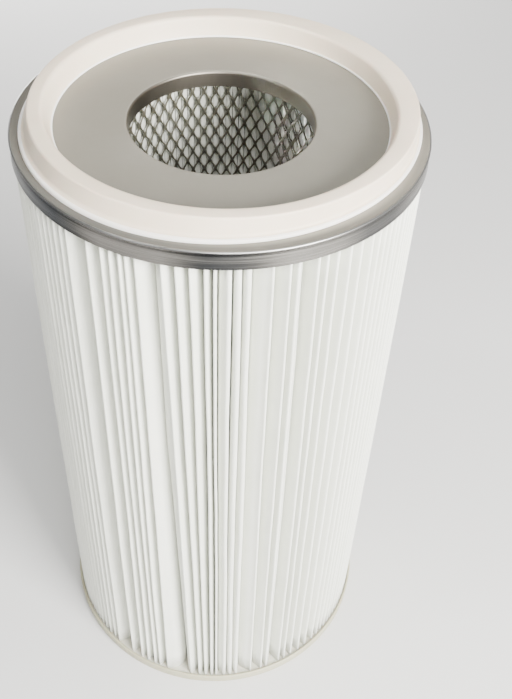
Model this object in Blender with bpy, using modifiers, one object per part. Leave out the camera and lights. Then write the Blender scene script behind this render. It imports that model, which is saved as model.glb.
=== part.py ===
"""Pleated dust collector filter cartridge, open at the top and closed at the bottom.

Frame: the cartridge's axis is Z, the origin is the centre of the closed end's underside, +Z is up
towards the gasket. Lengths are in metres.
"""

import math

import bmesh
import bpy
from mathutils import Vector

MM = 0.001

# Driving dimensions
CAP_RADIUS = 160 * MM  # outside of the steel cap's skirt, and of the closed end
BODY_HEIGHT = 600 * MM  # underside of the closed end to the steel cap's top face
HOLE_RADIUS = 71.5 * MM  # clean air outlet
CORE_RADIUS = 104.6 * MM  # middle of the expanded metal core
PLEAT_COUNT = 120
SHEET_STEEL = 0.8 * MM
MEDIA_THICKNESS = 0.8 * MM
GAP = 0.3 * MM  # clearance between pieces that bond or rest on each other

# Steel cap
SKIRT_DEPTH = 15 * MM
COLLAR_DEPTH = 13.5 * MM
BEND_RADIUS = 1.8 * MM
COLLAR_BEND_RADIUS = 2.4 * MM

# Gasket, as radii and heights above the cap's top face
GASKET_HEIGHT = 17 * MM
GASKET_FOOT_INNER = 128.6 * MM
GASKET_FOOT_OUTER = 153.1 * MM
GASKET_CROWN_INNER = 132.3 * MM
GASKET_CROWN_OUTER = 146.5 * MM
GASKET_LIP_HEIGHT = 2.8 * MM
ADHESIVE_INNER = 134 * MM
ADHESIVE_OUTER = 148 * MM
ADHESIVE_THICKNESS = 0.6 * MM

# Potting resin, and the closed end's pan
POTTING_INNER = 98 * MM
POTTING_DEPTH = 10.5 * MM
GROOVE_HALF_WIDTH = 1.9 * MM
GROOVE_DEPTH = 5 * MM
PAN_FLOOR = 4 * MM
PAN_HEIGHT = 11 * MM
PAN_WALL = 2.6 * MM
PAN_EDGE_RADIUS = 1.5 * MM
POTTING_SHOULDER = 152.5 * MM  # the resin stands higher outside this radius
POTTING_SHOULDER_STEP = 2.6 * MM

# Pleats
PLEAT_TIP_RADIUS = 158 * MM
PLEAT_ROOT_RADIUS = 107.9 * MM
FOLD_WIDTH = 1.2 * MM  # flat across each fold
TIP_WANDER_DEGREES = ((0.9, 7, 0.4), (0.75, 13, 2.1), (0.4, 29, 4.0))  # size, waves per turn, phase
SEAM_STRIP_WIDTH = 12 * MM
SEAM_STRIP_THICKNESS = 1.2 * MM
SEAM_PLEAT = 30  # the valley behind this pleat holds the seam

# Core
CORE_STRAND = 1.6 * MM
CORE_COLUMNS = 18
CORE_ROWS = 16  # half diamonds, the cut ends included
CORE_TIP = 2.6 * MM  # the cut ends' strands reach this far past their corners

ROUND_STEPS = 60
SMOOTH_ANGLE = math.radians(35)

COLLECTION_NAME = "filter_cartridge"


def clear_scene():
    for obj in list(bpy.data.objects):
        bpy.data.objects.remove(obj, do_unlink=True)


def new_collection():
    collection = bpy.data.collections.new(COLLECTION_NAME)
    bpy.context.scene.collection.children.link(collection)
    return collection


def make_material(name, colour, roughness, metallic=0.0):
    material = bpy.data.materials.new(name)
    material.use_nodes = True
    shader = material.node_tree.nodes["Principled BSDF"]
    shader.inputs["Base Color"].default_value = (*colour, 1.0)
    shader.inputs["Roughness"].default_value = roughness
    shader.inputs["Metallic"].default_value = metallic
    return material


def add_object(name, mesh, material, collection):
    obj = bpy.data.objects.new(name, mesh)
    obj.data.materials.append(material)
    collection.objects.link(obj)
    return obj


def arc(centre, radius, start_degrees, end_degrees, steps=4):
    """Points of an arc in the (r, z) half plane, both ends included."""
    points = []
    for i in range(steps + 1):
        angle = math.radians(start_degrees + (end_degrees - start_degrees) * i / steps)
        points.append((centre[0] + radius * math.cos(angle), centre[1] + radius * math.sin(angle)))
    return points


def turned(name, profile, material, collection, closed=True):
    """A ring or disc: the (r, z) profile, outer side first and downwards, turned about Z.

    An open profile starts and ends on the axis.
    """
    mesh = bpy.data.meshes.new(name)
    count = len(profile)
    edges = [(i, i + 1) for i in range(count - 1)]
    if closed:
        edges.append((count - 1, 0))
    mesh.from_pydata([(r, 0.0, z) for r, z in profile], edges, [])
    obj = add_object(name, mesh, material, collection)
    screw = obj.modifiers.new("turn", "SCREW")
    screw.axis = "Z"
    screw.steps = ROUND_STEPS
    screw.render_steps = ROUND_STEPS
    screw.use_merge_vertices = True
    screw.merge_threshold = 0.00005
    screw.use_smooth_shade = True
    return obj


def make_top_cap(material, collection):
    """Pressed sheet steel: skirt, flat annular plate and down-turned collar round the outlet."""
    top = BODY_HEIGHT
    under = top - SHEET_STEEL
    inner_bend = BEND_RADIUS - SHEET_STEEL
    inner_collar_bend = COLLAR_BEND_RADIUS - SHEET_STEEL
    skirt_centre = (CAP_RADIUS - BEND_RADIUS, top - BEND_RADIUS)
    collar_centre = (HOLE_RADIUS + COLLAR_BEND_RADIUS, top - COLLAR_BEND_RADIUS)
    profile = arc(skirt_centre, BEND_RADIUS, 90, 0)
    profile += [
        (CAP_RADIUS, top - SKIRT_DEPTH),
        (CAP_RADIUS - SHEET_STEEL, top - SKIRT_DEPTH),
    ]
    profile += arc(skirt_centre, inner_bend, 0, 90, steps=2)
    profile += arc(collar_centre, inner_collar_bend, 90, 180, steps=2)
    profile += [
        (HOLE_RADIUS + SHEET_STEEL, top - COLLAR_DEPTH),
        (HOLE_RADIUS, top - COLLAR_DEPTH),
    ]
    profile += arc(collar_centre, COLLAR_BEND_RADIUS, 180, 90)
    assert abs(profile[-1][1] - top) < 1e-9 and under < top
    return turned("top_cap", profile, material, collection)


def make_gasket(material, collection):
    """Moulded sealing ring: crown, sloping sides, an outer lip and a glue channel underneath."""
    foot = BODY_HEIGHT + GAP
    crown = BODY_HEIGHT + GASKET_HEIGHT
    channel = foot + GAP + ADHESIVE_THICKNESS + GAP
    crown_edge = 1.6 * MM
    outer_edge = (GASKET_CROWN_OUTER - crown_edge, crown - crown_edge)
    inner_edge = (GASKET_CROWN_INNER + crown_edge, crown - crown_edge)
    profile = arc(outer_edge, crown_edge, 90, 15, steps=3)
    profile += [
        (GASKET_CROWN_OUTER + 1.6 * MM, foot + 2 * GASKET_LIP_HEIGHT),
        (GASKET_CROWN_OUTER + 3.4 * MM, foot + GASKET_LIP_HEIGHT),
        (GASKET_FOOT_OUTER - 0.8 * MM, foot + GASKET_LIP_HEIGHT),
        (GASKET_FOOT_OUTER, foot + GASKET_LIP_HEIGHT - 1.2 * MM),
        (GASKET_FOOT_OUTER, foot),
        (ADHESIVE_OUTER + GAP, foot),
        (ADHESIVE_OUTER + GAP, channel),
        (ADHESIVE_INNER - GAP, channel),
        (ADHESIVE_INNER - GAP, foot),
        (GASKET_FOOT_INNER, foot),
        (GASKET_FOOT_INNER, foot + 1.0 * MM),
    ]
    profile += arc(inner_edge, crown_edge, 165, 90, steps=3)
    return turned("gasket", profile, material, collection)


def make_gasket_adhesive(material, collection):
    low = BODY_HEIGHT + 2 * GAP
    high = low + ADHESIVE_THICKNESS
    profile = [
        (ADHESIVE_OUTER, high),
        (ADHESIVE_OUTER, low),
        (ADHESIVE_INNER, low),
        (ADHESIVE_INNER, high),
    ]
    return turned("gasket_adhesive", profile, material, collection)


def make_top_potting(material, collection):
    """Resin ring under the cap's plate, with the groove that the core's upper end is set in."""
    high = BODY_HEIGHT - SHEET_STEEL - GAP
    low = high - POTTING_DEPTH
    outer = CAP_RADIUS - SHEET_STEEL - GAP
    bend = BEND_RADIUS
    profile = [
        (outer - bend, high),
        (outer, high - bend),
        (outer, low),
        (CORE_RADIUS + GROOVE_HALF_WIDTH, low),
        (CORE_RADIUS + GROOVE_HALF_WIDTH, low + GROOVE_DEPTH),
        (CORE_RADIUS - GROOVE_HALF_WIDTH, low + GROOVE_DEPTH),
        (CORE_RADIUS - GROOVE_HALF_WIDTH, low),
        (POTTING_INNER, low),
        (POTTING_INNER, high),
    ]
    return turned("top_potting", profile, material, collection)


def make_bottom_pan(material, collection):
    """Moulded dish that closes the lower end."""
    inside = CAP_RADIUS - PAN_WALL
    profile = [(0.0, PAN_FLOOR)]
    profile += [(inside, PAN_FLOOR), (inside, PAN_HEIGHT)]
    profile += [(CAP_RADIUS - PAN_EDGE_RADIUS, PAN_HEIGHT), (CAP_RADIUS, PAN_HEIGHT - PAN_EDGE_RADIUS)]
    profile += arc((CAP_RADIUS - PAN_EDGE_RADIUS, PAN_EDGE_RADIUS), PAN_EDGE_RADIUS, 0, -90, steps=3)
    profile += [(0.0, 0.0)]
    return turned("bottom_pan", profile, material, collection, closed=False)


def make_bottom_potting(material, collection):
    """Resin ring in the pan, with the groove that the core's lower end is set in."""
    low = PAN_FLOOR + GAP
    shoulder = PAN_HEIGHT - GAP
    floor = shoulder - POTTING_SHOULDER_STEP
    outer = CAP_RADIUS - PAN_WALL - GAP
    groove = floor - GROOVE_DEPTH / 2
    profile = [
        (outer, shoulder),
        (outer, low),
        (POTTING_INNER, low),
        (POTTING_INNER, floor),
        (CORE_RADIUS - GROOVE_HALF_WIDTH, floor),
        (CORE_RADIUS - GROOVE_HALF_WIDTH, groove),
        (CORE_RADIUS + GROOVE_HALF_WIDTH, groove),
        (CORE_RADIUS + GROOVE_HALF_WIDTH, floor),
        (POTTING_SHOULDER, floor),
        (POTTING_SHOULDER, shoulder),
    ]
    return turned("bottom_potting", profile, material, collection)


def tip_angle(pleat):
    """Where a pleat's outer fold stands: evenly spaced, then leaning with its neighbours."""
    even = math.tau * (pleat + 0.5) / PLEAT_COUNT
    lean = sum(size * math.sin(waves * even + phase) for size, waves, phase in TIP_WANDER_DEGREES)
    return even + math.radians(lean)


def root_angle(pleat):
    return math.tau * pleat / PLEAT_COUNT


def fold_points(angle, radius):
    """The two corners of a flat fold, in plan."""
    along = Vector((-math.sin(angle), math.cos(angle)))
    middle = Vector((math.cos(angle), math.sin(angle))) * radius
    return [middle - along * FOLD_WIDTH / 2, middle + along * FOLD_WIDTH / 2]


def pleat_heights():
    low = PAN_HEIGHT + GAP
    high = BODY_HEIGHT - SHEET_STEEL - 2 * GAP - POTTING_DEPTH
    return low, high


def make_pleat_pack(material, collection):
    """One sheet of filter media, folded to and fro round the core and closed into a ring."""
    low, high = pleat_heights()
    outline = []
    for pleat in range(PLEAT_COUNT):
        outline += fold_points(root_angle(pleat), PLEAT_ROOT_RADIUS)
        outline += fold_points(tip_angle(pleat), PLEAT_TIP_RADIUS)
    mesh = bpy.data.meshes.new("pleat_pack")
    sheet = bmesh.new()
    ring = [sheet.verts.new((point.x, point.y, low)) for point in outline]
    edges = [sheet.edges.new((ring[i], ring[(i + 1) % len(ring)])) for i in range(len(ring))]
    raised = bmesh.ops.extrude_edge_only(sheet, edges=edges)["geom"]
    raised_verts = [item for item in raised if isinstance(item, bmesh.types.BMVert)]
    bmesh.ops.translate(sheet, verts=raised_verts, vec=(0, 0, high - low))
    bmesh.ops.recalc_face_normals(sheet, faces=sheet.faces)
    sheet.to_mesh(mesh)
    sheet.free()
    obj = add_object("pleat_pack", mesh, material, collection)
    solidify = obj.modifiers.new("media_thickness", "SOLIDIFY")
    solidify.thickness = MEDIA_THICKNESS
    solidify.offset = 0
    solidify.use_even_offset = True
    return obj


def make_pleat_seam_strip(material, collection):
    """Hot-melt strip that closes the sheet's two ends, standing in one valley of the pleats."""
    low, high = pleat_heights()
    before, after = tip_angle(SEAM_PLEAT - 1), tip_angle(SEAM_PLEAT)
    angle = (before + after) / 2
    middle_radius = PLEAT_TIP_RADIUS - SEAM_STRIP_WIDTH
    bm = bmesh.new()
    bmesh.ops.create_cube(bm, size=1.0)
    bmesh.ops.scale(bm, verts=bm.verts, vec=(SEAM_STRIP_WIDTH, SEAM_STRIP_THICKNESS, high - low))
    mesh = bpy.data.meshes.new("pleat_seam_strip")
    bm.to_mesh(mesh)
    bm.free()
    obj = add_object("pleat_seam_strip", mesh, material, collection)
    obj.location = (
        middle_radius * math.cos(angle),
        middle_radius * math.sin(angle),
        (low + high) / 2,
    )
    obj.rotation_euler.z = angle
    bevel = obj.modifiers.new("melted_edges", "BEVEL")
    bevel.width = SEAM_STRIP_THICKNESS / 4
    bevel.segments = 1
    return obj


def make_inner_core(material, collection):
    """Expanded metal tube: staggered diamonds round a cylinder, each edge a strand of metal."""
    floor = PAN_HEIGHT - GAP - POTTING_SHOULDER_STEP
    low = floor - GROOVE_DEPTH / 2 + CORE_TIP
    high = BODY_HEIGHT - SHEET_STEEL - GAP - POTTING_DEPTH + GROOVE_DEPTH - CORE_TIP
    bm = bmesh.new()
    rows = []
    for row in range(CORE_ROWS + 1):
        z = low + (high - low) * row / CORE_ROWS
        stagger = 0.5 * (row % 2)
        angles = [math.tau * (column + stagger) / CORE_COLUMNS for column in range(CORE_COLUMNS)]
        rows.append(
            [bm.verts.new((CORE_RADIUS * math.cos(a), CORE_RADIUS * math.sin(a), z)) for a in angles]
        )
    for row in range(1, CORE_ROWS):
        for column in range(CORE_COLUMNS):
            beyond = (column + 1) % CORE_COLUMNS
            across = beyond if row % 2 else column
            left, right = rows[row][column], rows[row][beyond]
            bm.faces.new((left, rows[row - 1][across], right, rows[row + 1][across]))
    bmesh.ops.recalc_face_normals(bm, faces=bm.faces)
    mesh = bpy.data.meshes.new("inner_core")
    bm.to_mesh(mesh)
    bm.free()
    obj = add_object("inner_core", mesh, material, collection)
    strands = obj.modifiers.new("strands", "WIREFRAME")
    strands.thickness = CORE_STRAND
    strands.offset = 0
    strands.use_even_offset = True
    strands.use_boundary = True
    strands.use_replace = True
    return obj


def main():
    clear_scene()
    collection = new_collection()
    steel = make_material("brushed_steel", (0.56, 0.55, 0.52), 0.38, 1.0)
    galvanised = make_material("galvanised_steel", (0.42, 0.42, 0.38), 0.5, 1.0)
    rubber = make_material("cream_rubber", (0.80, 0.77, 0.71), 0.55)
    media = make_material("white_media", (0.88, 0.90, 0.87), 0.8)
    resin = make_material("cream_resin", (0.76, 0.73, 0.64), 0.5)
    plastic = make_material("cream_plastic", (0.84, 0.83, 0.77), 0.5)
    glue = make_material("hot_melt_glue", (0.80, 0.76, 0.62), 0.4)

    make_top_cap(steel, collection)
    make_gasket(rubber, collection)
    make_gasket_adhesive(glue, collection)
    make_top_potting(resin, collection)
    make_pleat_pack(media, collection)
    make_pleat_seam_strip(glue, collection)
    make_inner_core(galvanised, collection)
    make_bottom_pan(plastic, collection)
    make_bottom_potting(resin, collection)


main()
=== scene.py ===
import math
import random

import bmesh
import bpy
from mathutils import Matrix, Vector, noise


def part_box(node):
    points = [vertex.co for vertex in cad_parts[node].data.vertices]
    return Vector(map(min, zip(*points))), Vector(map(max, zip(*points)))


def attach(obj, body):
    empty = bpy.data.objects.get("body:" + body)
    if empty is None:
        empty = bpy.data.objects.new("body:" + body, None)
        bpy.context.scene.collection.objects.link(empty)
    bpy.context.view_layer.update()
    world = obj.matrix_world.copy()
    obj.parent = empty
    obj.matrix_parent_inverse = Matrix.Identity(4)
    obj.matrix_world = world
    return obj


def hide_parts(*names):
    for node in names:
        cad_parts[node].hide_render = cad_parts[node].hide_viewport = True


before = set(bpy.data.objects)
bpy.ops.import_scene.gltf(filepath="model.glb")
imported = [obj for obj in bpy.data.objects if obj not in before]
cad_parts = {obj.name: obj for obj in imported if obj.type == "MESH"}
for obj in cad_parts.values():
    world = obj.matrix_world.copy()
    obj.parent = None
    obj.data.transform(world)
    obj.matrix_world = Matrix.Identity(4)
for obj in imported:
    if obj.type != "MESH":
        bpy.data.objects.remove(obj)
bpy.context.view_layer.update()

MM = 0.001
SMOOTH_ANGLE = math.radians(32)
RING_STEPS = 256
ON_AXIS = 1e-9  # a profile's point nearer the axis than this is on it

# ---------------------------------------------------------------- what the CAD says
cap_low, cap_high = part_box("top_cap")
core_low, core_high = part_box("inner_core")
seam_low, seam_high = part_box("pleat_seam_strip")
CAP_RADIUS, CAP_TOP, CAP_BOTTOM = cap_high[0], cap_high[2], cap_low[2]
CORE_TOP, CORE_BOTTOM = core_high[2], core_low[2]
SEAM_CENTRE = (Vector(seam_low) + Vector(seam_high)) / 2
GASKET_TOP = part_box("gasket")[1][2]
PAN_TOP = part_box("bottom_pan")[1][2]
PACK_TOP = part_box("pleat_pack")[1][2]
POTTING_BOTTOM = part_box("bottom_potting")[0][2]


# ---------------------------------------------------------------- helpers
def link(obj):
    bpy.context.scene.collection.objects.link(obj)
    return obj


def mesh_object(name, bm, material, smooth=True, angle=SMOOTH_ANGLE):
    bmesh.ops.recalc_face_normals(bm, faces=bm.faces)
    mesh = bpy.data.meshes.new(name)
    bm.to_mesh(mesh)
    bm.free()
    if smooth:
        mesh.shade_smooth()
        mesh.set_sharp_from_angle(angle=angle)
    mesh.materials.append(material)
    return link(bpy.data.objects.new(name, mesh))


def thicken(obj, name, thickness):
    """Gives a sheet its thickness, half of it on either side."""
    solid = obj.modifiers.new(name, "SOLIDIFY")
    solid.thickness = thickness
    solid.offset = 0.0


def arc(centre_r, centre_z, radius, start, end, steps):
    """Points of a profile round a centre, from one angle in degrees to another."""
    points = []
    for i in range(steps + 1):
        a = math.radians(start + (end - start) * i / steps)
        points.append((centre_r + radius * math.cos(a), centre_z + radius * math.sin(a)))
    return points


def lathe(name, profile, material, closed=True, shift=None):
    """A ring from its (r, z) profile. shift(angle, r, z) may nudge a point, for hand-made unevenness."""
    bm = bmesh.new()
    rows = []
    for r, z in profile:
        if r < ON_AXIS:
            rows.append([bm.verts.new((0, 0, z))])
            continue
        row = []
        for i in range(RING_STEPS):
            a = math.tau * i / RING_STEPS
            rr, zz = shift(a, r, z) if shift else (r, z)
            row.append(bm.verts.new((rr * math.cos(a), rr * math.sin(a), zz)))
        rows.append(row)
    pairs = list(zip(rows, rows[1:]))
    if closed:
        pairs.append((rows[-1], rows[0]))
    for first, second in pairs:
        for i in range(RING_STEPS):
            j = (i + 1) % RING_STEPS
            if len(first) == 1:
                bm.faces.new((first[0], second[j], second[i]))
            elif len(second) == 1:
                bm.faces.new((first[i], first[j], second[0]))
            else:
                bm.faces.new((first[i], first[j], second[j], second[i]))
    return mesh_object(name, bm, material)


def clamp(value, low, high):
    return max(low, min(high, value))


# ---------------------------------------------------------------- materials
MIX_FACTOR, MIX_A, MIX_B, MIX_RESULT = 0, 6, 7, 2  # a mix node's sockets when it mixes colours
MIDDLE_RANGE = ((0.3, 0.0), (0.7, 1.0))  # a ramp that spreads out the middle of a noise
RAMP_SCALE = 6.0  # brings a length of up to 160 mm, in metres, into the 0 to 1 of a ramp


class Nodes:
    """Short names for the nodes that the materials here are made of."""

    def __init__(self, name):
        self.material = bpy.data.materials.new(name)
        self.material.use_nodes = True
        self.tree = self.material.node_tree
        self.shader = self.tree.nodes["Principled BSDF"]
        self.coords = self.tree.nodes.new("ShaderNodeTexCoord").outputs["Object"]

    def add(self, kind, **values):
        node = self.tree.nodes.new(kind)
        for key, value in values.items():
            setattr(node, key, value)
        return node

    def link(self, source, target):
        self.tree.links.new(source, target)

    def feed(self, socket, value):
        """Puts a number, a vector or another node's output into a socket."""
        if isinstance(value, (int, float, tuple)):
            socket.default_value = value
        else:
            self.link(value, socket)

    def math(self, operation, *values):
        node = self.add("ShaderNodeMath", operation=operation)
        for socket, value in zip(node.inputs, values):
            self.feed(socket, value)
        return node.outputs[0]

    def varied(self, base, pattern, by):
        """A number that follows a pattern: the base, and the pattern's value times another number."""
        return self.math("ADD", base, self.math("MULTIPLY", pattern, by))

    def mapped(self, scale):
        node = self.add("ShaderNodeMapping")
        node.inputs["Scale"].default_value = scale
        self.link(self.coords, node.inputs["Vector"])
        return node.outputs[0]

    def noise(self, scale, detail, rough, source=None):
        node = self.add("ShaderNodeTexNoise")
        node.inputs["Scale"].default_value = scale
        node.inputs["Detail"].default_value = detail
        node.inputs["Roughness"].default_value = rough
        self.link(source or self.coords, node.inputs["Vector"])
        return node.outputs["Fac"]

    def ramp(self, value, stops):
        node = self.add("ShaderNodeValToRGB")
        elements = node.color_ramp.elements
        while len(elements) < len(stops):
            elements.new(0.5)
        for element, (at, grey) in zip(elements, stops):
            element.position = at
            element.color = (grey, grey, grey, 1.0)
        self.link(value, node.inputs["Fac"])
        return node.outputs["Color"]

    def mix(self, factor, a, b):
        node = self.add("ShaderNodeMix", data_type="RGBA", blend_type="MIX")
        for i, value in ((MIX_FACTOR, factor), (MIX_A, a), (MIX_B, b)):
            self.feed(node.inputs[i], (*value, 1.0) if isinstance(value, tuple) else value)
        return node.outputs[MIX_RESULT]

    def separate(self):
        node = self.add("ShaderNodeSeparateXYZ")
        self.link(self.coords, node.inputs[0])
        return node.outputs

    def combine(self, x, y, z):
        node = self.add("ShaderNodeCombineXYZ")
        for socket, value in zip(node.inputs, (x, y, z)):
            self.feed(socket, value)
        return node.outputs[0]

    def angle(self):
        """A point's angle round the axis, in radians from the right, so that a pattern can follow it."""
        x, y, _ = self.separate()
        return self.math("ARCTAN2", y, x)

    def radius(self):
        x, y, _ = self.separate()
        return self.math("SQRT", self.math("ADD", self.math("MULTIPLY", x, x), self.math("MULTIPLY", y, y)))

    def set(self, **values):
        for key, value in values.items():
            self.feed(self.shader.inputs[key.replace("_", " ")], value)

    def bump(self, height, distance, strength, after=None):
        node = self.add("ShaderNodeBump")
        node.inputs["Strength"].default_value = strength
        node.inputs["Distance"].default_value = distance
        self.link(height, node.inputs["Height"])
        if after is not None:
            self.link(after, node.inputs["Normal"])
        self.link(node.outputs[0], self.shader.inputs["Normal"])
        return node.outputs[0]


def steel_sheet_material(name, dark, light, rough, metallic=1.0):
    """Cold-rolled sheet: dull and even, with a fine one-way grain and faint handling marks."""
    n = Nodes(name)
    grain = n.noise(1.0, 2.0, 0.6, n.mapped((60, 2600, 60)))
    cloud = n.noise(14.0, 4.0, 0.6)
    smear = n.noise(5.0, 3.0, 0.5, n.mapped((1.0, 3.0, 1.0)))
    colour = n.mix(n.ramp(cloud, MIDDLE_RANGE), dark, light)
    in_the_grain = tuple(0.72 * c for c in dark)
    colour = n.mix(n.math("MULTIPLY", grain, 0.22), colour, in_the_grain)
    # painted shade: darker outside the gasket, most of all at the front, standing in for the darker
    # reflection the ledge shows there
    ledge_painted_shade = (0.06, 0.065, 0.068)
    outside = n.ramp(n.math("MULTIPLY", n.radius(), RAMP_SCALE), ((0.905, 0.0), (0.93, 0.62)))
    forward = n.math("MULTIPLY", n.separate()[1], -RAMP_SCALE)
    in_front = n.ramp(forward, ((0.25, 0.35), (0.8, 1.0)))
    colour = n.mix(n.math("MULTIPLY", outside, in_front), colour, ledge_painted_shade)
    n.set(Base_Color=colour, Metallic=metallic, Roughness=n.varied(rough, smear, 0.16))
    n.bump(grain, 0.00002, 0.5)
    return n.material


# Where the skirt has painted shade, which keeps out its painted highlight, and where it has painted dark
# reflections, and how much. Places are in turns round the axis from the left: the front is at 0.25 and the
# right at 0.5.
SKIRT_PAINTED_SHADE = (
    (0.145, 1.0), (0.165, 0.1), (0.21, 0.15), (0.24, 1.0), (0.275, 0.8), (0.30, 0.25), (0.34, 0.3),
)
SKIRT_PAINTED_DARK_REFLECTIONS = (
    (0.06, 0.0), (0.09, 0.9), (0.125, 0.9), (0.152, 0.0),  # at the left
    (0.222, 0.0), (0.245, 0.45), (0.262, 0.35), (0.285, 0.0),  # in front
    (0.335, 0.0), (0.36, 0.6), (0.385, 0.6), (0.41, 0.0),  # at the right
)


def steel_skirt_material():
    """The same sheet where it was drawn and spun: fine lines run round the axis."""
    n = Nodes("steel_skirt")
    angle, height = n.angle(), n.separate()[2]

    def streaks(along, layer, across, detail, rough):
        """Noise drawn out into streaks: it changes slowly round the axis and quickly up the skirt."""
        where = n.combine(n.math("MULTIPLY", angle, along), layer, n.math("MULTIPLY", height, across))
        return n.noise(1.0, detail, rough, where)

    lines = streaks(1.6, 0.0, 1500.0, 3.0, 0.75)
    broad = streaks(1.3, 3.0, 110.0, 2.0, 0.5)
    # bright is a painted highlight colour, mixed in by angle below
    dark, light, bright = (0.024, 0.0235, 0.022), (0.22, 0.213, 0.198), (0.42, 0.40, 0.375)
    streaked, painted_dark_reflection = (0.022, 0.022, 0.023), (0.03, 0.034, 0.04)
    colour = n.mix(n.ramp(lines, ((0.32, 0.0), (0.68, 1.0))), dark, light)
    # the skirt's brightness round the axis is painted: dull is a painted-shade mask, where it is low a
    # painted highlight is mixed in, and the broad streaks darken only in the painted shade
    place = n.math("MULTIPLY_ADD", angle, 1 / math.tau, 0.5)
    dull = n.ramp(place, SKIRT_PAINTED_SHADE)
    colour = n.mix(n.math("MULTIPLY", n.math("SUBTRACT", 1.0, dull), 0.4), colour, bright)
    streaks_and_painted_shade = n.math("MULTIPLY", n.ramp(broad, ((0.42, 0.0), (0.62, 0.85))), dull)
    colour = n.mix(streaks_and_painted_shade, colour, streaked)
    # painted dark reflections: dark patches placed by angle round the axis
    colour = n.mix(n.ramp(place, SKIRT_PAINTED_DARK_REFLECTIONS), colour, painted_dark_reflection)
    n.set(Base_Color=colour, Metallic=1.0, Roughness=n.varied(0.16, lines, 0.2))
    n.bump(lines, 0.00004, 0.6)
    return n.material


def rubber_material(name, low, high):
    n = Nodes(name)
    cloud = n.noise(22.0, 4.0, 0.6)
    skin = n.noise(1500.0, 3.0, 0.6)
    pores = n.noise(420.0, 2.0, 0.5)
    n.set(
        Base_Color=n.mix(n.ramp(cloud, MIDDLE_RANGE), low, high),
        Roughness=n.varied(0.42, cloud, 0.14),
        Subsurface_Weight=0.12,
        Subsurface_Scale=0.004,
    )
    first = n.bump(pores, 0.00008, 0.35)
    n.bump(skin, 0.00002, 0.4, after=first)
    return n.material


def media_material():
    """Spunbonded polyester: matt white felt of fine fibres with faint clouds where it is denser."""
    n = Nodes("spunbond_media")
    cloud = n.noise(38.0, 3.0, 0.6)
    fibres = n.noise(900.0, 4.0, 0.65, n.mapped((1.0, 1.0, 0.45)))
    strays = n.noise(2600.0, 3.0, 0.6, n.mapped((1.0, 1.0, 0.25)))
    thin, dense, fibre = (0.745, 0.765, 0.68), (0.785, 0.80, 0.72), (0.64, 0.65, 0.57)
    colour = n.mix(n.ramp(cloud, MIDDLE_RANGE), thin, dense)
    colour = n.mix(n.math("MULTIPLY", fibres, 0.14), colour, fibre)
    n.set(
        Base_Color=colour,
        Roughness=0.85,
        Subsurface_Weight=1.0,
        Subsurface_Scale=0.001,
        Subsurface_Radius=(1.0, 1.0, 1.0),
        Sheen_Weight=0.12,
        Sheen_Roughness=0.5,
    )
    first = n.bump(fibres, 0.00012, 0.6)
    n.bump(strays, 0.00004, 0.5, after=first)
    return n.material


def core_material():
    """Galvanised steel with patches of brown grime."""
    n = Nodes("galvanised_mesh")
    cloud = n.noise(120.0, 3.0, 0.6)
    patches = n.noise(18.0, 3.0, 0.6)
    dark, light, grime = (0.145, 0.142, 0.105), (0.22, 0.215, 0.165), (0.12, 0.085, 0.055)
    colour = n.mix(n.ramp(cloud, MIDDLE_RANGE), dark, light)
    colour = n.mix(n.ramp(patches, ((0.55, 0.0), (0.72, 0.6))), colour, grime)
    n.set(Base_Color=colour, Metallic=0.7, Roughness=n.varied(0.36, cloud, 0.2))
    n.bump(cloud, 0.00006, 0.5)
    return n.material


def moulding_material(name, low, high, rough):
    n = Nodes(name)
    cloud = n.noise(16.0, 4.0, 0.6)
    skin = n.noise(700.0, 3.0, 0.6)
    n.set(
        Base_Color=n.mix(n.ramp(cloud, MIDDLE_RANGE), low, high),
        Roughness=n.varied(rough, cloud, 0.12),
        Subsurface_Weight=0.1,
        Subsurface_Scale=0.003,
    )
    n.bump(skin, 0.00005, 0.4)
    return n.material


PLATE = steel_sheet_material("steel_plate", (0.337, 0.32, 0.271), (0.37, 0.352, 0.3), 0.6, 0.74)
# painted shade: a darker copy of the plate's steel for the collar, which faces into the bore
COLLAR_PAINTED_SHADE = steel_sheet_material("steel_collar_painted_shade", (0.17, 0.155, 0.13), (0.22, 0.20, 0.165), 0.34)
# painted highlight: a pale copy of the steel for the bead along the skirt's top edge
EDGE_PAINTED_HIGHLIGHT = steel_sheet_material("steel_edge_painted_highlight", (0.84, 0.83, 0.80), (0.90, 0.89, 0.86), 0.24)
SKIRT = steel_skirt_material()
RUBBER = rubber_material("cream_rubber", (0.745, 0.635, 0.495), (0.795, 0.69, 0.55))
# painted highlight: a paler copy of the same rubber for the gasket's lips
RUBBER_LIP_PAINTED_HIGHLIGHT = rubber_material("rubber_lip_painted_highlight", (0.86, 0.83, 0.78), (0.90, 0.87, 0.82))
MEDIA = media_material()
CORE = core_material()
PAN = moulding_material("cream_moulding", (0.42, 0.40, 0.278), (0.47, 0.45, 0.32), 0.4)
POTTING = moulding_material("potting_resin", (0.58, 0.56, 0.48), (0.64, 0.62, 0.54), 0.35)
GLUE = moulding_material("hot_melt", (0.74, 0.68, 0.52), (0.80, 0.75, 0.60), 0.3)


def paint_rows(obj, painted):
    """Gives runs of a lathed ring's rows, each (first, end, material), their own material."""
    for _, _, material in painted:
        if material.name not in obj.data.materials:
            obj.data.materials.append(material)
    for i, polygon in enumerate(obj.data.polygons):
        row = i // RING_STEPS
        for first, end, material in painted:
            if first <= row < end:
                polygon.material_index = obj.data.materials.find(material.name)


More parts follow.
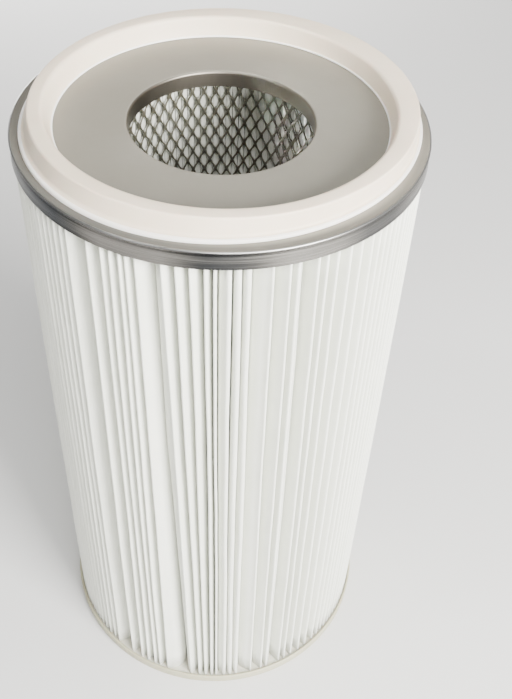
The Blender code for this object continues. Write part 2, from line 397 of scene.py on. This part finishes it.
# ---------------------------------------------------------------- steel cap
HOLE_RADIUS = 71.5 * MM
CAP_SHEET = 0.8 * MM
COLLAR_DEPTH = 13.5 * MM
COLLAR_ROUND = 2.4 * MM  # of the plate's bend down into the collar
SKIRT_ROUND = 1.6 * MM  # of its bend down into the skirt; inside, each bend is the sheet tighter
EDGE_ROUND = 1.25 * MM  # of the bead that the skirt's top edge makes, which carries a painted highlight
EDGE_STEPS = 10
PLATE_RINGS = (HOLE_RADIUS + 8 * MM, 128 * MM, 150 * MM)
PLATE_RIM_IN, PLATE_RIM_DIP = 3.4 * MM, 0.05 * MM  # it dips a hair before its edge
# The skirt's outside below its edge: how far in from the cap's radius, and how far below its top
SKIRT_UPPER = ((0.75, 2.75), (0.55, 3.4), (0.3, 4.4), (0.25, 9.0))
# and then how far in, and how far above its foot, all in millimetres
SKIRT_LOWER = ((0.1, 1.6), (0.0, 0.9), (0.05, 0.3), (0.35, 0.0))
SKIRT_INSET, BEND_INSET = 0.25 * MM, 0.45 * MM  # of its inside and its bend, besides the sheet
NICK_AT, NICK_HALF_WIDTH = math.radians(246), math.radians(1)
NICK_DEPTH, NICK_REACH = 0.8 * MM, 0.5 * MM


def build_cap():
    low, collar_low = CAP_BOTTOM, CAP_TOP - COLLAR_DEPTH
    profile = [(r, CAP_TOP) for r in PLATE_RINGS]
    profile.append((CAP_RADIUS - PLATE_RIM_IN, CAP_TOP - PLATE_RIM_DIP))
    edge_from = len(profile)
    skirt_from = edge_from + EDGE_STEPS // 2
    profile += arc(CAP_RADIUS - EDGE_ROUND, CAP_TOP - EDGE_ROUND, EDGE_ROUND, 96, -58, EDGE_STEPS)
    profile += [(CAP_RADIUS - inset * MM, CAP_TOP - down * MM) for inset, down in SKIRT_UPPER]
    profile += [(CAP_RADIUS - inset * MM, low + up * MM) for inset, up in SKIRT_LOWER]
    skirt_to = len(profile)
    profile.append((CAP_RADIUS - CAP_SHEET - SKIRT_INSET, low))
    bend_r = CAP_RADIUS - SKIRT_ROUND - BEND_INSET
    profile += arc(bend_r, CAP_TOP - SKIRT_ROUND, SKIRT_ROUND - CAP_SHEET, 0, 90, 3)
    bend_r, bend_z = HOLE_RADIUS + COLLAR_ROUND, CAP_TOP - COLLAR_ROUND
    profile += arc(bend_r, bend_z, COLLAR_ROUND - CAP_SHEET, 90, 180, 4)
    profile.append((HOLE_RADIUS + CAP_SHEET, collar_low))
    collar_from = len(profile)
    profile.append((HOLE_RADIUS, collar_low))
    profile += arc(bend_r, bend_z, COLLAR_ROUND, 180, 90, 8)
    collar_to = len(profile) - 4  # the last of its bend looks like the plate

    def nicked(angle, r, z):
        """The lower edge has been knocked down at one place."""
        hit = abs(angle - NICK_AT) < NICK_HALF_WIDTH and z < low + NICK_REACH
        return r, z - (NICK_DEPTH if hit else 0.0)

    cap = lathe("steel_cap", profile, PLATE, shift=nicked)
    paint_rows(cap, (
        (skirt_from, skirt_to, SKIRT),
        (collar_from, collar_to, COLLAR_PAINTED_SHADE),
        (edge_from, skirt_from, EDGE_PAINTED_HIGHLIGHT),
    ))
    return cap


# ---------------------------------------------------------------- gasket
GASKET_FOOT = CAP_TOP + 0.3 * MM
GASKET_INNER, GASKET_OUTER = 128.6 * MM, 153.1 * MM  # radii at its foot
CROWN_INNER, CROWN_OUTER = 132.3 * MM, 146.5 * MM
CROWN_ROUND_IN, CROWN_ROUND_OUT = 3.6 * MM, 1.8 * MM
GLUE_INNER, GLUE_OUTER, GLUE_DEEP = 133.7 * MM, 148.3 * MM, 1.2 * MM  # the groove underneath
SPREAD_TOWARDS = math.radians(130)  # from the front, round by the right
# how far its crown and its foot stand out: all round, towards the spread, and by being oval
CROWN_OUT = (1.0, 3.2, 1.5)
FOOT_OUT = (-0.8, 0.8, 2.6)
CROWN_SUNK = 0.37 * MM


def build_gasket():
    foot, top = GASKET_FOOT, GASKET_TOP
    profile = arc(CROWN_OUTER - CROWN_ROUND_OUT, top - CROWN_ROUND_OUT, CROWN_ROUND_OUT, 90, 10, 6)
    profile += [(CROWN_OUTER + 0.5 * MM, top - 5.0 * MM), (CROWN_OUTER + 1.3 * MM, top - 8.6 * MM)]
    # a hollow sweeps out to the lip round the foot, which is painted paler as a highlight
    profile += arc(CROWN_OUTER + 4.6 * MM, foot + 5.6 * MM, 2.7 * MM, 180, 262, 6)
    outer_lip = len(profile) - 1
    profile += arc(GASKET_OUTER - 1.3 * MM, foot + 1.6 * MM, 1.3 * MM, 100, 0, 6)
    profile += [(GASKET_OUTER, foot + 0.3 * MM), (GASKET_OUTER - 0.3 * MM, foot)]
    outer_lip_end = len(profile) - 1
    profile += [
        (GLUE_OUTER, foot),
        (GLUE_OUTER, foot + GLUE_DEEP),
        (GLUE_INNER, foot + GLUE_DEEP),
        (GLUE_INNER, foot),
    ]
    inner_lip = len(profile)
    profile += [(GASKET_INNER - 0.8 * MM, foot), (GASKET_INNER - 1.1 * MM, foot + 0.3 * MM)]
    profile += arc(GASKET_INNER - 0.2 * MM, foot + 0.6 * MM, 0.9 * MM, 180, 80, 4)
    inner_lip_end = len(profile) - 1
    profile += [(GASKET_INNER + 0.5 * MM, foot + 2.4 * MM), (GASKET_INNER + 1.5 * MM, foot + 8.0 * MM)]
    profile += arc(CROWN_INNER + CROWN_ROUND_IN, top - CROWN_ROUND_IN, CROWN_ROUND_IN, 172, 90, 6)

    def uneven(angle, r, z):
        """Laid by hand: a little oval, and spread out towards the back right. Its top dips and rises."""
        ahead = angle + math.pi / 2
        spread = math.cos(ahead - SPREAD_TOWARDS)
        oval = -math.sin(2 * ahead)
        lift = 0.2 * MM * math.sin(2 * angle + 0.8) + 0.1 * MM * math.sin(5 * angle + 2.0)
        high = clamp((z - foot) / (top - foot), 0.0, 1.0)
        crown, base = (
            (everywhere + spread * to_spread + oval * to_oval) * MM
            for everywhere, to_spread, to_oval in (CROWN_OUT, FOOT_OUT)
        )
        if r > (CROWN_INNER + CROWN_OUTER) / 2:
            r += high * crown + (1 - high) * base
        else:
            r += (0.2 * (1 - high) - 0.3 * high) * crown
        return r, z - high * (CROWN_SUNK + lift) * 0.6

    gasket = lathe("sealing_gasket", profile, RUBBER, shift=uneven)
    paint_rows(gasket, ((outer_lip, outer_lip_end, RUBBER_LIP_PAINTED_HIGHLIGHT), (inner_lip, inner_lip_end, RUBBER_LIP_PAINTED_HIGHLIGHT)))
    return gasket


# ---------------------------------------------------------------- closed end
PAN_FLOOR = 4.0 * MM
PAN_INSIDE = 155.4 * MM  # radius where the floor turns up into the wall
PAN_FILLET, PAN_WALL_ROUND, PAN_EDGE_ROUND, PAN_FOOT_ROUND = 2.0 * MM, 0.8 * MM, 1.4 * MM, 1.45 * MM
POTTING_INNER, POTTING_OUTER = 98 * MM, 157.1 * MM
POTTING_LEVEL = PAN_TOP - 2.2 * MM
POTTING_RINGS = (152 * MM, 130 * MM, 108 * MM, 100 * MM)
POTTING_RIPPLE = 0.3 * MM


def build_pan():
    profile = [(0.0, PAN_FLOOR), (60 * MM, PAN_FLOOR), (PAN_INSIDE, PAN_FLOOR)]
    profile += arc(PAN_INSIDE, PAN_FLOOR + PAN_FILLET, PAN_FILLET, -90, 0, 3)
    profile += arc(158.2 * MM, PAN_TOP - PAN_WALL_ROUND, PAN_WALL_ROUND, 180, 90, 3)
    profile += arc(CAP_RADIUS - PAN_EDGE_ROUND, PAN_TOP - PAN_EDGE_ROUND, PAN_EDGE_ROUND, 90, 0, 5)
    profile += [(CAP_RADIUS - 0.05 * MM, 6 * MM), (CAP_RADIUS - 0.35 * MM, 3.0 * MM)]
    profile += arc(CAP_RADIUS - 1.8 * MM, PAN_FOOT_ROUND, PAN_FOOT_ROUND, 0, -90, 5)
    profile += [(120 * MM, 0.0), (0.0, 0.0)]
    return lathe("end_pan", profile, PAN, closed=False)


def build_bottom_potting():
    low, level = POTTING_BOTTOM, POTTING_LEVEL
    profile = [(POTTING_OUTER, low), (POTTING_OUTER, PAN_TOP - 1.0 * MM), (155.5 * MM, level + 0.5 * MM)]
    profile += [(r, level) for r in POTTING_RINGS]
    profile += [(POTTING_INNER + 0.6 * MM, level - 0.6 * MM), (POTTING_INNER, level - 2 * MM)]
    profile.append((POTTING_INNER, low))

    def uneven(angle, r, z):
        """The cast resin's face is not quite level."""
        if z < level - 0.1 * MM:
            return r, z
        where = Vector((math.cos(angle) * 9, math.sin(angle) * 9, r * 60))
        return r, z + POTTING_RIPPLE * noise.noise(where)

    return lathe("end_potting", profile, POTTING, shift=uneven)


# ---------------------------------------------------------------- pleats
PLEATS = 120
PITCH = 360.0 / PLEATS
TIP_RADIUS = 157.8 * MM
ROOT_RADIUS = 108.2 * MM
TIP_FOLD = 0.85 * MM  # radius of the sheet's middle round an outer fold
ROUND_FOLD = 1.15 * MM  # how much more it is where the folds are round and full
TIP_FOLD_STEPS = 4
ROOT_FOLD = 2.55 * MM  # half the width of an inner fold: they nearly meet round the core
ROOT_DEPTH = 0.6 * MM
MEDIA_SHEET = 0.6 * MM
MEDIA_FOOT = POTTING_BOTTOM + 3.2 * MM
LEVELS = 22
FLANK = (0.2, 0.45, 0.65, 0.82, 0.94)  # where each flank's points lie, from the inner fold out
# Angles of folds are in degrees from straight ahead, more to the right.
FACING = 17.0  # either side of straight ahead where the valleys are looked into
OPEN_GAP, SHUT_GAP = 3.85, 0.75  # where one gap stands open a little, and where one is shut
GAP_REACH = 0.9  # how far round from those two places the change is felt
# Bunches of outer folds across the front: where the first one's top stands, how many there are, and
# the step between them. They crowd together beyond these.
FRONT_BUNCHES = (
    (-53, 5, 2.6),
    (-35.5, 1, 0),
    (-31, 3, 2.6),
    (-24, 2, 2.6),
    (-14.5, 3, 3.6),
    (-3.5, 2, 2.4),
    (2.6, 3, 2.5),
    (13.2, 1, 0),
    (17.6, 2, 2.3),
    (25.5, 2, 2.5),
    (31.3, 3, 3.8),
    (43, 3, 2.9),
)
FRONT_FOLDS = [first + i * step for first, count, step in FRONT_BUNCHES for i in range(count)]
# The other bunches: how many gaps one has, and the gaps in and after it, before all are scaled to fit
BUNCH_SIZES = (3, 4, 5, 6)
BUNCH_GAP, BUNCH_UNEVEN, GAP_AFTER = (0.62, 1.0), (0.9, 1.1), (1.3, 2.2)
CROWDED = 9  # gaps on each side, next to the front's own, that are even and close
CROWDED_RIGHT, CROWDED_LEFT, CROWDED_UNEVEN = 0.86, 0.82, 0.08
SEAM_REACH = 10  # folds on each side of the seam that make way for it
# How far folds lean at the foot, in degrees: all of the front, and more at one place in it
LEAN_REACH, LEAN_FRONT = 60, 1.4
LEAN_MORE, LEAN_PLACE, LEAN_WIDTH = 4.2, -13.5, 8.5
ROUND_PLACE, ROUND_WIDTH = 5.2, 3.6  # where folds are round and full, and how far round from there
TIP_TAPER = 1.2 * MM  # outer folds draw in by this towards the foot,
TIP_SHORT = 0.9 * MM  # stand back by up to this,
TIP_WOBBLE = 0.35 * MM  # and waver in and out by up to this on their way up
BOW = 2.2 * MM  # a pleat's flanks bow sideways together by up to this
# layers of smooth noise, each its own pattern
SWAY, SHIVER, SHORTENING, WOBBLE, BOWING, SWELLING = 3, 5, 11, 12, 21, 31

# How far the flanks swell
SWELL_HIGH = 2.1  # the swell is greatest where a flank's length to this power is a half
NARROW_GAP, NARROW_OVER = 4.4, 0.8  # from this many degrees down, over that many more,
NARROW_HIGH = 2.2  # the swell of a flank right of the middle moves out along it by this power
SWELL_MOST = 12.0 * MM
GAP_FILLED_MOST, GAP_FILLED_LEAST = 0.92, 0.76  # of a gap, by both its flanks together
GAP_TAPER = 0.76  # a gap's width where the flanks swell, by its width at the folds
GAP_EXTRA = 1.3 * MM
FULL_LEAN = 1.6  # degrees at which a pleat's lean has its full effect on its flanks
SIDE_SHARE, LEAN_SHARE = 0.46, 0.40
SLOPE_LEAST, SLOPE_RISE = 0.02, 0.94
GAP_OPENED, GAP_SHUT = 0.26, 0.07  # by how much of a gap the open one and the shut one differ
MIDDLE, MIDDLE_OVER = -0.7, 0.5  # where the flank that fills a gap changes sides, and over how far
SWELL_UNEVEN = 0.08
FLANKS_APART = 0.1 * MM


def turn(angle):
    """The same angle between -180 and 180."""
    return (angle + 180) % 360 - 180


def hump(x, middle, width, power=2):
    """1 at the middle, and falling off smoothly to either side."""
    return math.exp(-(((x - middle) / width) ** power))


def smooth_noise(layer, x):
    """A smooth random line along x. Each layer is another one."""
    return noise.noise(Vector((x, layer * 17.3, layer * 5.1)))


def crosswise(v):
    return Vector((-v.y, v.x))


def fold_angles():
    """Every outer fold's angle: the front's own, then bunches of like ones round the back."""
    rng = random.Random(11)
    rest = PLEATS - len(FRONT_FOLDS)
    gaps = []
    while len(gaps) < rest + 1:
        tight = rng.uniform(*BUNCH_GAP)
        for _ in range(rng.choice(BUNCH_SIZES)):
            gaps.append(tight * rng.uniform(*BUNCH_UNEVEN))
        gaps.append(rng.uniform(*GAP_AFTER))
    gaps = gaps[: rest + 1]
    for i in range(CROWDED):
        gaps[i] = CROWDED_RIGHT + CROWDED_UNEVEN * rng.uniform(-1, 1)
        gaps[-1 - i] = CROWDED_LEFT + CROWDED_UNEVEN * rng.uniform(-1, 1)
    room = 360.0 - (FRONT_FOLDS[-1] - FRONT_FOLDS[0])
    scale = room / sum(gaps)
    angles = list(FRONT_FOLDS)
    for gap in gaps[:-1]:
        angles.append(angles[-1] + gap * scale)
    # the sheet's glued seam stands in the middle of a gap
    seam_at = math.degrees(math.atan2(SEAM_CENTRE.y, SEAM_CENTRE.x)) + 90
    before = max(i for i, angle in enumerate(angles) if angle <= seam_at)
    shift = seam_at - (angles[before] + angles[before + 1]) / 2
    for i in range(len(angles)):
        angles[i] += shift * max(0.0, 1 - abs(i - before - 0.5) / SEAM_REACH)
    return angles, before


def lean_down(angle):
    """How far a fold has turned at its foot, in degrees: most of all a little left of the middle."""
    if abs(angle) > LEAN_REACH:
        return 0.0
    front = math.cos(math.radians(angle * 90 / LEAN_REACH))
    return LEAN_FRONT * front + LEAN_MORE * hump(angle, LEAN_PLACE, LEAN_WIDTH)


def root_angles(straight):
    """The inner folds stand evenly; the turn that suits the outer ones best is found here."""
    mean = sum(angle - i * PITCH for i, angle in enumerate(straight)) / PLEATS
    return [mean + (i - 0.5) * PITCH for i in range(PLEATS)]


def fold_radius(angle):
    """Outer folds are tight, but for a few a little right of the middle, which are round and full."""
    return TIP_FOLD + ROUND_FOLD * hump(turn(angle), ROUND_PLACE, ROUND_WIDTH, 4)


def fold_tips(straight, t):
    """Every outer fold's angle at height t, which is 0 at the sheet's foot and 1 at its top."""
    held = 1 - min(1.0, 4 * t, 6 * (1 - t))  # by the potting at both ends
    tips = []
    for i, angle in enumerate(straight):
        wave = 0.3 * smooth_noise(SWAY, i * 0.6 + t * 2.1) + 0.2 * smooth_noise(SHIVER, i * 1.7 + t * 9.0)
        fuller = math.degrees((fold_radius(angle) - TIP_FOLD) / TIP_RADIUS)
        tips.append(angle - fuller + lean_down(turn(angle)) * (1 - t) + wave * (1 - 0.6 * held))
    return tips


def side_shares(lean):
    """The parts of the gaps before and after a pleat that its two flanks may swell into.

    A leaning pleat's flank is flat on the side that shows, and swells on the side it leans over.
    """
    g = clamp(lean / FULL_LEAN, -1.0, 1.0)
    return SIDE_SHARE - LEAN_SHARE * g, SIDE_SHARE + LEAN_SHARE * g


def puffs(straight, tips, roots, seam_before, i, t):
    """How far a pleat's two flanks swell towards their neighbours, and how high up the flank.

    Round the front a gap is filled by the flank of the pleat that stands farther from the middle,
    which slopes from its own fold to just below its neighbour's.
    """
    result = []
    for near, own, key in ((i - 1, 0, i), ((i + 1) % PLEATS, 1, i + 1)):
        if {near, i} == {seam_before, seam_before + 1}:
            result.append((0.0, SWELL_HIGH))
            continue
        gap = abs(turn(tips[i] - tips[near]))
        folds = fold_radius(straight[i]) + fold_radius(straight[near])
        room = math.radians(gap) * TIP_RADIUS * GAP_TAPER + GAP_EXTRA - folds - MEDIA_SHEET
        mine = side_shares(tips[i] - roots[i] - PITCH / 2)[own]
        theirs = side_shares(tips[near] - roots[near] - PITCH / 2)[1 - own]
        both = mine + theirs
        if both > GAP_FILLED_MOST:
            mine = mine * GAP_FILLED_MOST / both
        else:
            mine += max(0.0, GAP_FILLED_LEAST - both) / 2
        middle = (straight[i] + straight[near]) / 2
        right_of_middle = 0.5 + 0.5 * clamp((middle - MIDDLE) / MIDDLE_OVER, -1.0, 1.0)
        slope = SLOPE_RISE * (right_of_middle if own == 0 else 1 - right_of_middle) + SLOPE_LEAST
        slope -= GAP_OPENED * hump(middle, OPEN_GAP, GAP_REACH)
        slope += GAP_SHUT * hump(middle, SHUT_GAP, GAP_REACH)
        facing = hump(middle, 0.0, FACING, 4)
        uneven = 1 + SWELL_UNEVEN * smooth_noise(SWELLING, key * 2.3 + t * 1.5)
        share = (mine + (slope - mine) * facing) * uneven
        narrow = clamp((NARROW_GAP - gap) / NARROW_OVER, 0.0, 1.0)
        high = SWELL_HIGH + NARROW_HIGH * narrow * facing * (right_of_middle if own == 0 else 0.0)
        result.append((clamp(room * share - FLANKS_APART, 0.0, SWELL_MOST), high))
    return result


def pleat_points(straight, tips, roots, seam_before, i, t):
    """One pleat's section at height t: inner fold, flank, outer fold, and flank down to the next."""
    tip = math.radians(tips[i] - 90)
    root = math.radians(roots[i] - 90)
    following = root + math.tau / PLEATS
    tip_r = TIP_RADIUS - TIP_TAPER * (1 - t) ** 2 - TIP_SHORT * abs(smooth_noise(SHORTENING, i * 3.7))
    tip_r += TIP_WOBBLE * smooth_noise(WOBBLE, i * 1.3 + t * 5)
    bow = BOW * smooth_noise(BOWING, i * 0.13 + t * 0.8)
    fold = fold_radius(straight[i])
    tip_centre = Vector((math.cos(tip), math.sin(tip))) * (tip_r - fold)
    root_dir = Vector((math.cos(root), math.sin(root)))
    next_dir = Vector((math.cos(following), math.sin(following)))
    root_across, next_across = crosswise(root_dir), crosswise(next_dir)
    root_centre = root_dir * (ROOT_RADIUS + ROOT_DEPTH)
    next_centre = next_dir * (ROOT_RADIUS + ROOT_DEPTH)
    outward = (tip_centre - (root_centre + next_centre) / 2).normalized()
    side = crosswise(outward)
    (before, high_before), (after, high_after) = puffs(straight, tips, roots, seam_before, i, t)
    points = [
        root_centre - root_dir * ROOT_DEPTH,
        root_centre + root_across * ROOT_FOLD * 0.9 - root_dir * ROOT_DEPTH * 0.6,
    ]
    start = root_centre + root_across * ROOT_FOLD
    stop = tip_centre - side * fold
    for f in FLANK:
        puffed = bow * math.sin(math.pi * f) - before * math.sin(math.pi * f**high_before)
        points.append(start.lerp(stop, f) + side * puffed)
    for k in range(TIP_FOLD_STEPS + 1):
        a = math.pi * k / TIP_FOLD_STEPS
        points.append(tip_centre - side * fold * math.cos(a) + outward * fold * math.sin(a))
    start = next_centre - next_across * ROOT_FOLD
    stop = tip_centre + side * fold
    for f in reversed(FLANK):
        puffed = bow * math.sin(math.pi * f) + after * math.sin(math.pi * f**high_after)
        points.append(start.lerp(stop, f) + side * puffed)
    points.append(next_centre - next_across * ROOT_FOLD * 0.9 - next_dir * ROOT_DEPTH * 0.6)
    return points


def build_pleats():
    straight, seam_before = fold_angles()
    roots = root_angles(straight)
    bm = bmesh.new()
    rows = []
    for level in range(LEVELS + 1):
        t = level / LEVELS
        z = MEDIA_FOOT + (PACK_TOP - MEDIA_FOOT) * t
        tips = fold_tips(straight, t)
        row = []
        for i in range(PLEATS):
            for p in pleat_points(straight, tips, roots, seam_before, i, t):
                row.append(bm.verts.new((p.x, p.y, z)))
        rows.append(row)
    count = len(rows[0])
    for lower, upper in zip(rows, rows[1:]):
        for i in range(count):
            j = (i + 1) % count
            bm.faces.new((lower[i], lower[j], upper[j], upper[i]))
    media = mesh_object("pleated_media", bm, MEDIA, angle=math.radians(60))
    thicken(media, "sheet", MEDIA_SHEET)
    return media


# ---------------------------------------------------------------- expanded metal
CORE_RADIUS = 104.6 * MM
CORE_COLUMNS = 64
CORE_CELL_ROWS = 58
CORE_STRAND = 0.9 * MM
CELL_ANGLE = math.tau / CORE_COLUMNS
STRAND_TILT, LAP_TILT = 0.5 * MM, 0.4 * MM
LAP_FIRST, LAP_LAST = 9, 11  # the columns over which the sheet's end laps its start
LAP_INSET, LAP_OFFSET = 1.3 * MM, 0.12 * CELL_ANGLE
# An opening's eight corners, as parts of half a cell's width and of half its height: an almond, full
# at the waist and pointed at the ends
OPENING = (
    (0.77, 0.0), (0.515, 0.40), (0.0, 0.75), (-0.515, 0.40),
    (-0.77, 0.0), (-0.515, -0.40), (0.0, -0.75), (0.515, -0.40),
)


def add_mesh_layer(bm, radius, first, last, offset, twist):
    """Columns of cells. Each cell is a diamond with an opening, and its strands are twisted outward."""
    step_z = (CORE_TOP - CORE_BOTTOM) / (CORE_CELL_ROWS + 1)
    corners = {}

    def new_point(r, half_columns, z):
        a = half_columns / 2 * CELL_ANGLE + offset
        return bm.verts.new((r * math.cos(a), r * math.sin(a), z))

    def corner(half_column, row):
        """A diamond's corner, which it shares with its neighbours."""
        key = (half_column % (2 * CORE_COLUMNS), row)
        if key not in corners:
            corners[key] = new_point(radius, half_column, CORE_BOTTOM + row * step_z)
        return corners[key]

    for row in range(1, CORE_CELL_ROWS + 1):
        for column in range(first, last):
            middle = 2 * column + row % 2
            diamond = [
                corner(middle + 1, row),
                corner(middle, row + 1),
                corner(middle - 1, row),
                corner(middle, row - 1),
            ]
            middle_z = CORE_BOTTOM + row * step_z
            opening = [
                new_point(radius + twist * dv, middle + du, middle_z + dv * step_z) for du, dv in OPENING
            ]
            for q in range(4):
                here, between, there = opening[2 * q], opening[2 * q + 1], opening[(2 * q + 2) % 8]
                this_corner, next_corner = diamond[q], diamond[(q + 1) % 4]
                bm.faces.new((this_corner, next_corner, between))
                bm.faces.new((this_corner, between, here))
                bm.faces.new((next_corner, there, between))


def build_core():
    """Expanded sheet: almond openings, with each strand tilted out of the tube's surface."""
    bm = bmesh.new()
    add_mesh_layer(bm, CORE_RADIUS, 0, CORE_COLUMNS, 0.0, STRAND_TILT)
    add_mesh_layer(bm, CORE_RADIUS - LAP_INSET, LAP_FIRST, LAP_LAST, LAP_OFFSET, LAP_TILT)
    core = mesh_object("core_mesh", bm, CORE, angle=math.radians(50))
    thicken(core, "strand", CORE_STRAND)
    return core


# ---------------------------------------------------------------- pieces on the frame
for piece, node, slot in (
    (build_cap(), "top_cap", "cap_steel"),
    (build_gasket(), "gasket", "gasket_rubber"),
    (build_pan(), "bottom_pan", "pan_plastic"),
    (build_bottom_potting(), "bottom_potting", "potting_resin"),
    (build_pleats(), "pleat_pack", "filter_media"),
    (build_core(), "inner_core", "core_steel"),
):
    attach(piece, "root")
    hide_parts(node)
for node, material in (("gasket_adhesive", GLUE), ("top_potting", POTTING), ("pleat_seam_strip", GLUE)):
    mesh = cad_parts[node].data
    mesh.materials.clear()
    mesh.materials.append(material)

# ---------------------------------------------------------------- stage
FLOOR_HALF_WIDTH = 6.0
# name, size, power, place, what it faces, colour, and how wide it spreads in degrees. The rim and
# bore lamps have grids: one reaches only the cap, and the other only the right of the bore.
LAMPS = (
    ("key", (1.1, 1.0), 245, (1.4, -1.7, 1.5), (0, 0, 0.35), (1.0, 0.98, 0.95), 180),
    ("fill", (1.6, 1.4), 3, (-1.6, -1.1, 1.5), (0, 0, 0.3), (0.965, 0.985, 1.0), 180),
    ("top", (0.9, 0.9), 33, (0.3, -1.1, 2.2), (0, 0, 0.55), (1.0, 0.99, 0.98), 180),
    ("rim", (0.25, 0.25), 0.26, (-0.7, -0.35, 2.0), (0.1, 0, 0.6), (1.0, 0.99, 0.97), 20),
    ("bore", (0.02, 0.02), 0.065, (-1.0, -0.96, 1.4), (0.072, 0.07, 0.545), (1.0, 0.99, 0.95), 3.2),
    ("front", (1.0, 0.22), 34, (0.45, -2.25, 1.12), (0, 0, 0.5), (1.0, 0.99, 0.975), 180),
    ("back", (1.8, 0.5), 75, (-0.5, 2.3, 0.36), (0, 0, 0.3), (1.0, 0.99, 0.98), 180),
)
# how bright the surroundings are from below to above, lighter towards the right
SKY = ((0.0, (0.30, 0.30, 0.31)), (0.35, (0.42, 0.42, 0.42)), (1.0, (1.1, 1.1, 1.09)))
SKY_ASIDE = 0.36
SKY_STRENGTH = 0.6
CAMERA_PLACE = (0.0, -0.648, 1.003)
CAMERA_PITCH, CAMERA_YAW, CAMERA_ROLL = 0.7877, 0.0546, -0.0526
CAMERA_LENS, CAMERA_SENSOR = 50.1, 36.0  # mm


def build_floor():
    bm = bmesh.new()
    bmesh.ops.create_grid(bm, x_segments=1, y_segments=1, size=FLOOR_HALF_WIDTH)
    n = Nodes("pale_floor")
    cloud = n.noise(1.5, 3.0, 0.5)
    n.set(Base_Color=n.mix(cloud, (0.66, 0.66, 0.65), (0.69, 0.69, 0.68)), Roughness=0.75)
    floor = mesh_object("floor", bm, n.material, smooth=False)


def area_light(name, size, power, place, target, colour, spread):
    data = bpy.data.lights.new(name, "AREA")
    data.shape = "RECTANGLE"
    data.size, data.size_y = size
    data.energy = power
    data.color = colour
    data.spread = math.radians(spread)
    light = link(bpy.data.objects.new(name, data))
    light.location = place
    light.rotation_euler = (Vector(target) - Vector(place)).to_track_quat("-Z", "Y").to_euler()


def build_world():
    world = bpy.data.worlds.new("studio")
    bpy.context.scene.world = world
    world.use_nodes = True
    nodes, links = world.node_tree.nodes, world.node_tree.links
    coords = nodes.new("ShaderNodeTexCoord").outputs["Generated"]
    split = nodes.new("ShaderNodeSeparateXYZ")
    links.new(coords, split.inputs[0])
    ramp = nodes.new("ShaderNodeValToRGB")
    elements = ramp.color_ramp.elements
    elements.new(SKY[1][0])
    for element, (at, colour) in zip(elements, SKY):
        element.position, element.color = at, (*colour, 1)
    aside = nodes.new("ShaderNodeMath")
    aside.operation = "MULTIPLY_ADD"
    aside.inputs[1].default_value = SKY_ASIDE
    links.new(split.outputs[0], aside.inputs[0])
    links.new(split.outputs[2], aside.inputs[2])
    links.new(aside.outputs[0], ramp.inputs["Fac"])
    background = nodes["Background"]
    links.new(ramp.outputs["Color"], background.inputs["Color"])
    background.inputs["Strength"].default_value = SKY_STRENGTH


def build_camera():
    """Looks down at the cartridge from the front, from about its own height and a half away."""
    pitch, yaw, roll = CAMERA_PITCH, CAMERA_YAW, CAMERA_ROLL
    ahead = math.cos(pitch)
    forward = Vector((math.sin(yaw) * ahead, math.cos(yaw) * ahead, -math.sin(pitch)))
    right = Vector((math.cos(yaw), -math.sin(yaw), 0.0))
    down = forward.cross(right)
    right, down = (
        right * math.cos(roll) + down * math.sin(roll),
        down * math.cos(roll) - right * math.sin(roll),
    )
    data = bpy.data.cameras.new("camera")
    data.sensor_width = CAMERA_SENSOR
    data.lens = CAMERA_LENS
    data.clip_start = 0.05
    data.dof.use_dof = False
    camera = link(bpy.data.objects.new("camera", data))
    turned = Matrix((right, -down, -forward)).transposed().to_4x4()
    camera.matrix_world = Matrix.Translation(CAMERA_PLACE) @ turned
    bpy.context.scene.camera = camera


build_floor()
build_world()
for lamp in LAMPS:
    area_light(*lamp)
build_camera()
